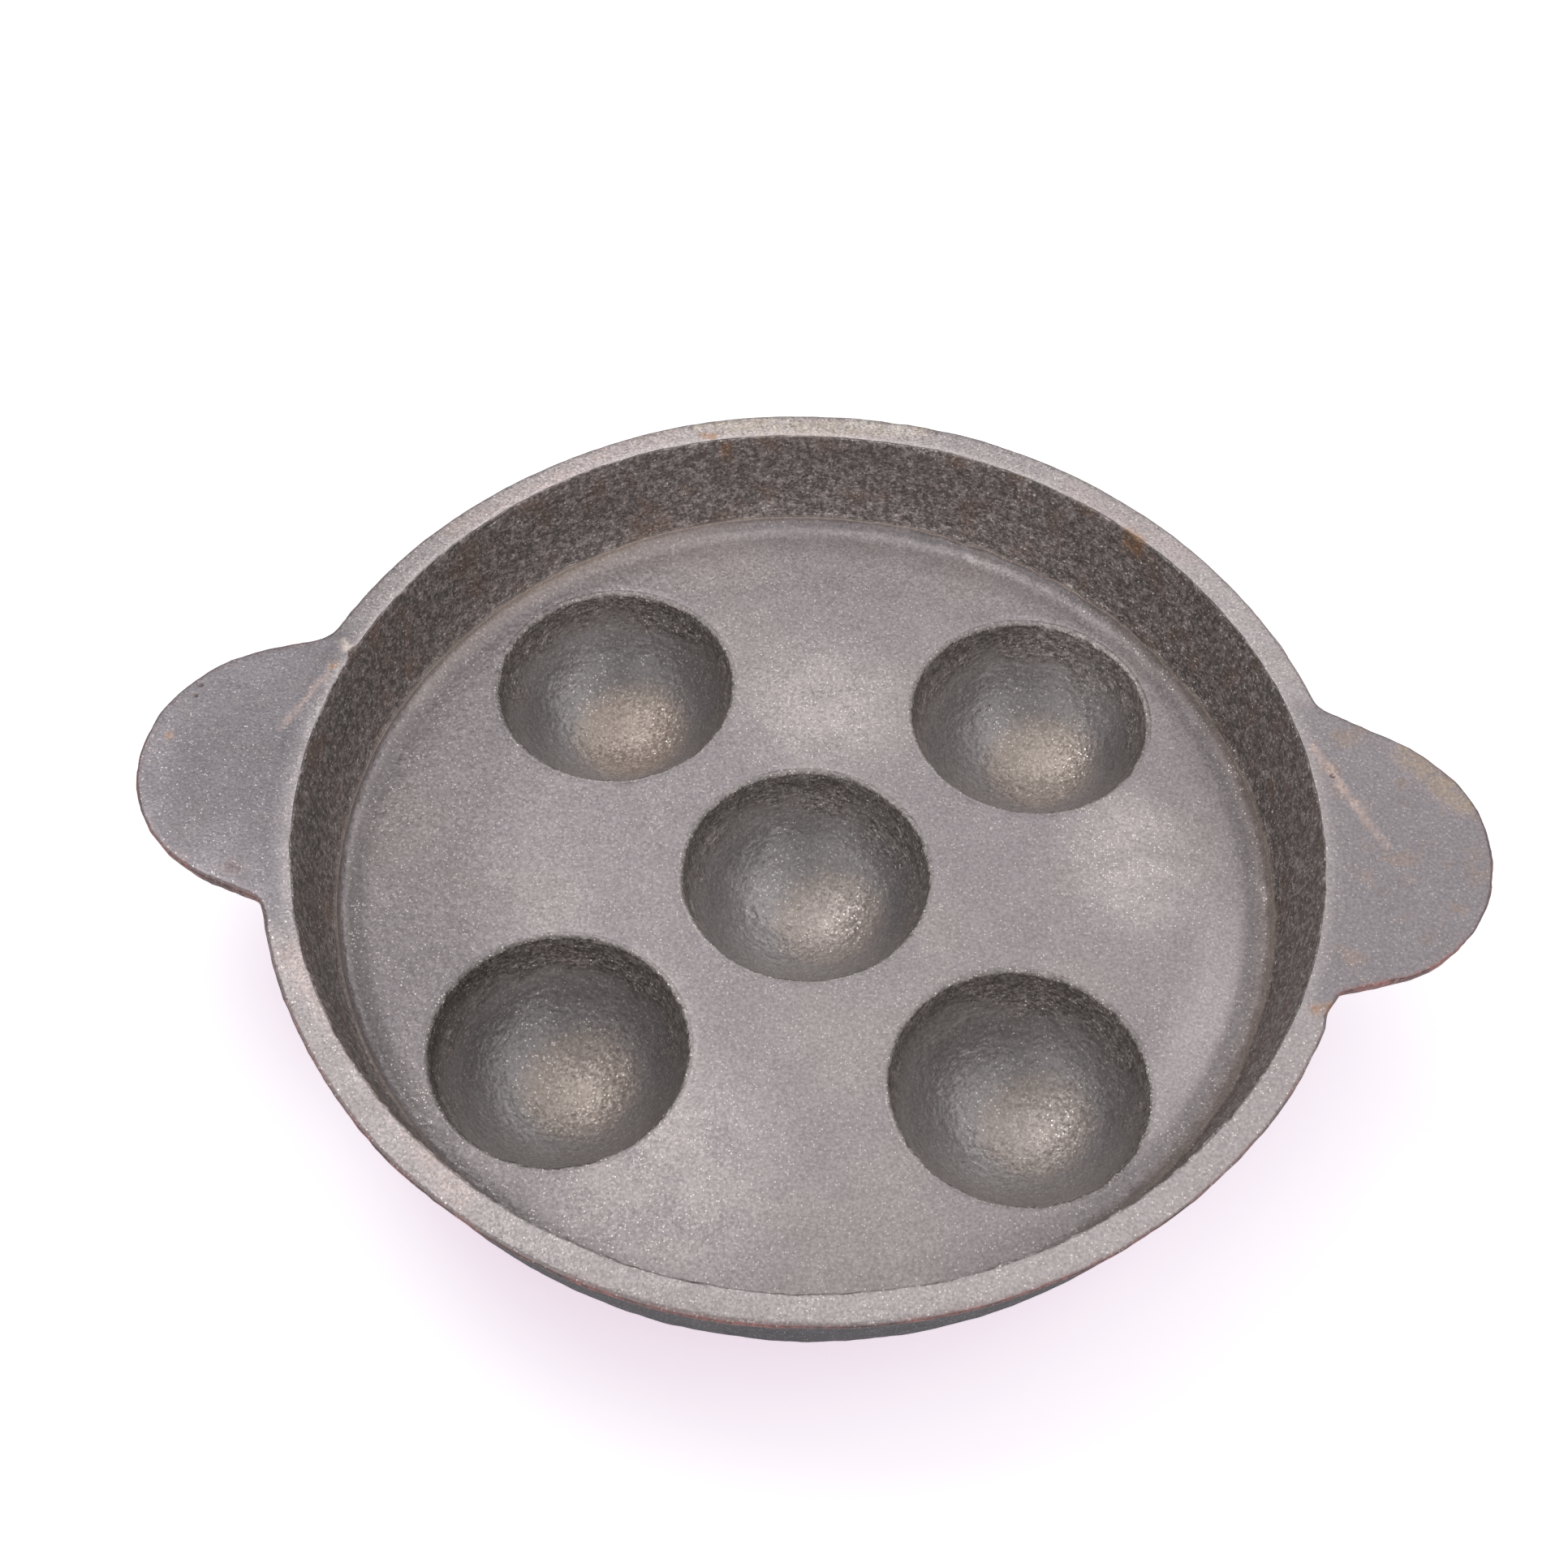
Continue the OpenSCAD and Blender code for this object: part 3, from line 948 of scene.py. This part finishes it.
# Materials
class Nodes:
    """Short calls for the nodes of one material. Each returns the socket that it makes."""

    def __init__(self, name):
        self.material = bpy.data.materials.new(name)
        self.material.use_nodes = True
        self.tree = self.material.node_tree

    def put(self, socket, value):
        """Joins a socket to another, or sets its value."""
        if isinstance(value, bpy.types.NodeSocket):
            self.tree.links.new(value, socket)
        else:
            socket.default_value = value

    def node(self, kind, *values, **named):
        """A new node with the values of its first inputs, or of inputs by their names, where
        an underscore stands for a space."""
        node = self.tree.nodes.new("ShaderNode" + kind)
        for socket, value in zip(node.inputs, values):
            self.put(socket, value)
        for name, value in named.items():
            self.put(node.inputs[name.replace("_", " ")], value)
        return node

    def painted(self, name):
        """What was painted on the mesh under that name."""
        node = self.node("Attribute")
        node.attribute_name = name
        return node.outputs

    def math(self, operation, *values):
        node = self.node("Math", *values)
        node.operation = operation
        return node.outputs["Value"]

    def times(self, *values):
        return reduce(lambda a, b: self.math("MULTIPLY", a, b), values)

    def plus(self, *values):
        return reduce(lambda a, b: self.math("ADD", a, b), values)

    def vector(self, operation, *values):
        node = self.node("VectorMath", *values)
        node.operation = operation
        return node.outputs["Vector"]

    def ramp(self, value, start, end, low_value=0.0, high_value=1.0):
        """Smooth change from low_value at start to high_value at end."""
        node = self.node("MapRange", value, start, end, low_value, high_value)
        node.interpolation_type = "SMOOTHSTEP"
        return node.outputs["Result"]

    def mix(self, factor, under, over, blend="MIX"):
        """One colour laid over another."""
        node = self.node("Mix", factor)
        node.data_type = "RGBA"
        node.blend_type = blend
        sockets = [i for i in node.inputs if i.type == "RGBA"]
        for socket, value in zip(sockets, (under, over)):
            self.put(socket, (*value, 1) if isinstance(value, tuple) else value)
        return [o for o in node.outputs if o.type == "RGBA"][0]


class Iron(Nodes):
    """The iron's nodes: noises and grains in the object's coordinates, and finishes."""

    def __init__(self):
        super().__init__("iron")
        self.place = self.node("TexCoord").outputs["Object"]
        self.x, self.y, self.z = self.node("SeparateXYZ", self.place).outputs
        self.add_patterns()
        self.add_finishes()

    def stretched(self, across, along, up):
        """The object's coordinates, with each direction scaled."""
        return self.node("Mapping", Vector=self.place, Scale=(across, along, up)).outputs["Vector"]

    def noise(self, size, detail=2.0, place=None):
        """Noise with lumps of about that size, from 0 to 1."""
        place = place or self.place
        return self.node("TexNoise", Vector=place, Scale=1 / size, Detail=detail).outputs["Fac"]

    def grains(self, size):
        """Round grains of about that size: how far from a grain's middle, and a vector and a
        number of its own."""
        grain = self.node("TexVoronoi", Vector=self.place, Scale=1 / size).outputs
        own = self.node("SeparateColor", grain["Color"]).outputs
        return grain["Distance"], grain["Color"], own["Red"]

    def add_patterns(self):
        self.middle = self.noise(1.6 * MM)
        distance, self.own_vector, own_number = self.grains(0.42 * MM)
        self.slow = self.noise(30 * MM)
        self.patch = self.noise(8 * MM)
        self.fine = self.noise(0.6 * MM)
        self.speckle = self.plus(self.times(self.noise(0.7 * MM), 0.5), self.times(self.middle, 0.5))
        self.grain = self.times(self.ramp(distance, 0.5, 0.3), self.ramp(own_number, 0.8, 0.95))

    def add_finishes(self):
        """The weight of each finish."""
        for name in ZONES + WEAR_AND_LIGHT:
            setattr(self, name, self.painted(name)["Fac"])
        others = self.plus(self.wall, self.cup, self.rim, self.outer, self.ledge)
        self.ground = self.math("MAXIMUM", self.math("SUBTRACT", 1.0, others), 0)
        self.lug = self.times(self.lug, self.rim)
        # Painted sheen, on the ground floor only
        self.bright = self.times(self.bright, self.ground)
        # The cups' bottoms, partly rubbed lighter and partly a painted highlight, broken up by noise
        ragged_worn_and_highlit = self.ramp(self.plus(self.worn_and_highlit, self.times(self.middle, 0.8)), 0.6, 1.0)
        self.worn_and_highlit = self.times(self.cup, self.worn_and_highlit, ragged_worn_and_highlit)
        band_end = self.ramp(self.patch, 0.3, 0.7, FLOOR_Z - 10 * MM, FLOOR_Z - 3.5 * MM)
        into_band = self.ramp(self.math("SUBTRACT", self.z, band_end), -3.5 * MM, 2.5 * MM)
        self.sand = self.math("MAXIMUM", self.wall, self.times(self.cup, into_band, 0.8))


# Colours of the iron's finishes
GROUND = (0.345, 0.307, 0.316)
GROUND_WARM = (0.44, 0.39, 0.365)
# Painted sheen on the floor
GROUND_SHEEN = (0.56, 0.50, 0.495)
LUG_GREY = (0.305, 0.275, 0.288)
LUG_BLUE = (0.303, 0.277, 0.294)
LUG_BROWN = (0.36, 0.28, 0.24)
RIM_GREY = (0.43, 0.385, 0.385)
LEDGE_TAN = (0.42, 0.34, 0.30)
CUP_GREY = (0.335, 0.312, 0.312)
CUP_BROWN = (0.25, 0.228, 0.212)
# The cups' bottoms: partly rubbed, partly a painted highlight
CUP_WORN_AND_HIGHLIT = (0.50, 0.405, 0.345)
# Grains lightened as painted glints
GLINT_GRAIN = (0.97, 0.89, 0.83)
SAND_DARK = (0.205, 0.182, 0.174)
SAND_LIGHT = (0.54, 0.48, 0.462)
SAND_BROWN = (0.30, 0.215, 0.18)
OUTSIDE = (0.06, 0.056, 0.062)
RUST = (0.56, 0.27, 0.25)


def floor_colour(n):
    colour = n.mix(n.ramp(n.slow, 0.42, 0.66, 0, 0.35), GROUND, GROUND_WARM)
    shine = n.ramp(n.patch, 0.3, 0.65, 0.25, 0.8)
    # Painted sheen where the floor has its sheen weight
    return n.mix(n.times(n.bright, shine), colour, GROUND_SHEEN)


def cup_colour(n):
    colour = n.mix(n.ramp(n.z, FLOOR_Z - 12 * MM, FLOOR_Z, 0, 0.7), CUP_GREY, CUP_BROWN)
    # Lighter cup bottoms: partly rubbed, partly a painted highlight
    return n.mix(n.times(n.worn_and_highlit, 0.75), colour, CUP_WORN_AND_HIGHLIT)


def top_colour(n):
    """The rim's and the lugs' colour. The right lug is the browner one."""
    brown = n.ramp(n.noise(5 * MM, 3), 0.52, 0.7, 0, 0.6)
    brown = n.times(brown, n.ramp(n.x, -20 * MM, 20 * MM, 0.2, 1))
    metal = n.mix(n.ramp(n.x, 20 * MM, -20 * MM), LUG_GREY, LUG_BLUE)
    return n.mix(n.lug, RIM_GREY, n.mix(brown, metal, LUG_BROWN))


def sand_colour(n):
    colour = n.mix(n.ramp(n.speckle, 0.4, 0.68), SAND_DARK, SAND_LIGHT)
    brown = n.times(n.wall, n.ramp(n.patch, 0.5, 0.7, 0, 0.7))
    return n.mix(brown, colour, SAND_BROWN)


def bare_colour(n):
    """All the finishes, with the painted light and shade."""
    colour = floor_colour(n)
    colour = n.mix(n.cup, colour, cup_colour(n))
    colour = n.mix(n.rim, colour, top_colour(n))
    colour = n.mix(n.outer, colour, OUTSIDE)
    colour = n.mix(n.ledge, colour, LEDGE_TAN)
    colour = n.mix(n.sand, colour, sand_colour(n))
    # Painted light and shade: the colour times one plus the painted change
    return n.mix(1.0, colour, n.plus(1, n.shade), "MULTIPLY")


def worn_colour_and_glints(n, colour):
    """The iron's colour under rust in upright streaks on the edges, stains, and grains lightened as
    painted glints.
    """
    streaks = n.ramp(n.noise(1.1 * MM, 2, n.stretched(1, 1, 0.12)), 0.3, 0.62, 0.3, 0.85)
    rust = n.times(n.edge, streaks, n.ramp(n.patch, 0.38, 0.6, 0.35, 1))
    colour = n.mix(rust, colour, RUST)
    stain = n.painted("stain")
    stained = n.times(stain["Alpha"], n.ramp(n.middle, 0.35, 0.6, 0.4, 1))
    colour = n.mix(stained, colour, stain["Color"])
    colour = n.mix(1.0, colour, n.ramp(n.fine, 0.25, 0.75, 0.82, 1.18), "MULTIPLY")
    # Painted glints: lightened grains, more of them in the painted sheen and highlight
    shares = n.plus(0.42, n.times(n.rim, 0.26), n.times(n.cup, 0.12), n.times(n.bright, 0.5),
                    n.times(n.sand, n.ramp(n.speckle, 0.4, 0.6, 0.2, 0.8)),
                    n.times(n.lug, -0.4), n.times(n.worn_and_highlit, 0.12))
    return n.mix(n.times(n.grain, shares), colour, GLINT_GRAIN)


def facets(n):
    """Normals of grains that each catch the light their own way."""
    tilt = n.plus(0.14, n.times(n.rim, 0.06), n.times(n.sand, 0.4), n.times(n.bright, 0.1),
                  n.times(n.worn_and_highlit, 0.2), n.times(n.lug, -0.12))
    facet = n.vector("SCALE", n.vector("SUBTRACT", n.own_vector, (0.5, 0.5, 0.5)))
    n.put(facet.node.inputs["Scale"], tilt)
    surface = n.node("NewGeometry").outputs["Normal"]
    return n.vector("NORMALIZE", n.vector("ADD", surface, facet))


def relief(n, normal):
    """Fine relief on those normals: sand grains, ripples and swells."""
    sandy = n.noise(0.5 * MM, 1)
    ripples = n.noise(1.6 * MM, 1, n.stretched(1, 1, 2.0))
    swells = n.noise(2.6 * MM, 1)
    peel = n.times(n.ground, n.ramp(n.x, -10 * MM, -60 * MM, 0.01, 0.12))
    sandy_share = n.plus(0.02, n.times(n.rim, 0.03), n.times(n.sand, 0.25),
                         n.times(n.outer, 0.12))
    ripple_share = n.plus(peel, n.times(n.sand, 0.3), n.times(n.outer, 0.1),
                          n.times(n.cup, 0.16))
    swell_share = n.plus(n.times(n.cup, 0.2), n.times(n.worn_and_highlit, -0.17), n.times(n.wall, 0.3))
    height = n.plus(n.times(sandy, sandy_share), n.times(ripples, ripple_share),
                    n.times(swells, swell_share))
    bump = n.node("Bump", Strength=1.0, Distance=1 * MM, Height=height, Normal=normal)
    return bump.outputs["Normal"]


def iron_material():
    n = Iron()
    shader = n.tree.nodes["Principled BSDF"].inputs
    n.put(shader["Base Color"], worn_colour_and_glints(n, bare_colour(n)))
    n.put(shader["Metallic"], n.plus(0.75, n.times(n.outer, -0.55), n.times(n.ledge, -0.3)))
    n.put(shader["Roughness"], n.plus(n.ramp(n.patch, 0.3, 0.7, 0.39, 0.46),
                                      n.times(n.outer, 0.3), n.times(n.sand, 0.12),
                                      n.times(n.worn_and_highlit, 0.04), n.times(n.grain, -0.15),
                                      n.times(n.ledge, 0.2)))
    n.put(shader["Normal"], relief(n, facets(n)))
    return n.material


pan = cast_pan()
pan.data.materials.append(iron_material())
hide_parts("pan")
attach(pan, "root")


# Floor, light and camera
FLOOR_WHITE = (0.9, 0.9, 0.9, 1)
# What the camera and the metal see of the floor: a glow of its own, and the light on it.
# The green is lower in the glow, so the shadow is a little pink
FLOOR_GLOW = (0.66, 0.50, 0.62, 1)
FLOOR_LIT = (0.76, 1.0, 0.85, 1)
FLOOR_REACH = 3.0


def floor_material():
    """White, with the glow where the camera or the metal sees it."""
    n = Nodes("floor")
    n.tree.nodes.clear()
    bounce = n.node("BsdfDiffuse", FLOOR_WHITE).outputs[0]
    lit = n.node("BsdfDiffuse", FLOOR_LIT).outputs[0]
    glow = n.node("Emission", FLOOR_GLOW).outputs[0]
    path = n.node("LightPath").outputs
    looks = n.math("MAXIMUM", path["Is Camera Ray"], path["Is Glossy Ray"])
    mixed = n.node("MixShader", looks, bounce, n.node("AddShader", lit, glow).outputs[0])
    n.node("OutputMaterial", mixed.outputs[0])
    return n.material


def add_floor_plane():
    mesh = bpy.data.meshes.new("floor")
    corners = [(x * FLOOR_REACH, y * FLOOR_REACH, 0) for x, y in ((-1, -1), (1, -1), (1, 1), (-1, 1))]
    mesh.from_pydata(corners, [], [(0, 1, 2, 3)])
    mesh.materials.append(floor_material())
    in_scene("floor", mesh)


# The photograph's camera, found from the rim, floor and cups: azimuth from the front,
# elevation and roll in degrees, place in metres, lens and sensor in millimetres
AZIMUTH = 3.355
ELEVATION = 54.783
ROLL = 1.639
PLACE = (0.009445, -0.242958, 0.399462)
LENS = 52.44
SENSOR = 36
FARTHEST = 20


def direction(azimuth, elevation):
    """Direction by its azimuth from +X and its elevation, in degrees."""
    turn, lift = radians(azimuth), radians(elevation)
    return Vector((cos(turn) * cos(lift), sin(turn) * cos(lift), sin(lift)))


def add_camera():
    back = direction(AZIMUTH - 90, ELEVATION)
    right = (-back).cross(Vector((0, 0, 1))).normalized()
    up = right.cross(-back)
    roll = radians(ROLL)
    across = right * cos(roll) + up * sin(roll)
    upward = up * cos(roll) - right * sin(roll)
    data = bpy.data.cameras.new("camera")
    data.sensor_width = SENSOR
    data.lens = LENS
    data.clip_end = FARTHEST
    camera = in_scene("camera", data)
    place = Matrix((across, upward, back)).transposed().to_4x4()
    place.translation = PLACE
    camera.matrix_world = place
    bpy.context.scene.camera = camera


# Round lamps that face the pan: azimuth from +X and elevation in degrees, width in metres,
# watts
LAMP_DISTANCE = 1.3
LAMPS = {
    "overhead": (0, 90, 1.0, 1.6),
    "right": (0, 48, 1.0, 3.2),
    "right_back": (60, 50, 1.0, 2.8),
    "left_back": (120, 52, 1.0, 2.4),
    "left": (190, 34, 1.0, 1.8),
    "left_front": (240, 36, 1.0, 2.3),
    "right_front": (305, 42, 1.0, 2.7),
    "key": (152, 60, 0.7, 3.2),
}


def add_lights():
    world = bpy.data.worlds.new("studio")
    bpy.context.scene.world = world
    world.use_nodes = True
    background = world.node_tree.nodes["Background"].inputs
    background["Color"].default_value = (1, 1, 1, 1)
    background["Strength"].default_value = 0.0
    for name, (azimuth, elevation, width, power) in LAMPS.items():
        data = bpy.data.lights.new(name, "AREA")
        data.shape = "DISK"
        data.size = width
        data.energy = power
        away = direction(azimuth, elevation)
        lamp = in_scene(name, data)
        lamp.location = away * LAMP_DISTANCE
        lamp.rotation_euler = away.to_track_quat("Z", "Y").to_euler()


add_floor_plane()
add_camera()
add_lights()
bpy.context.scene.view_settings.view_transform = "Standard"
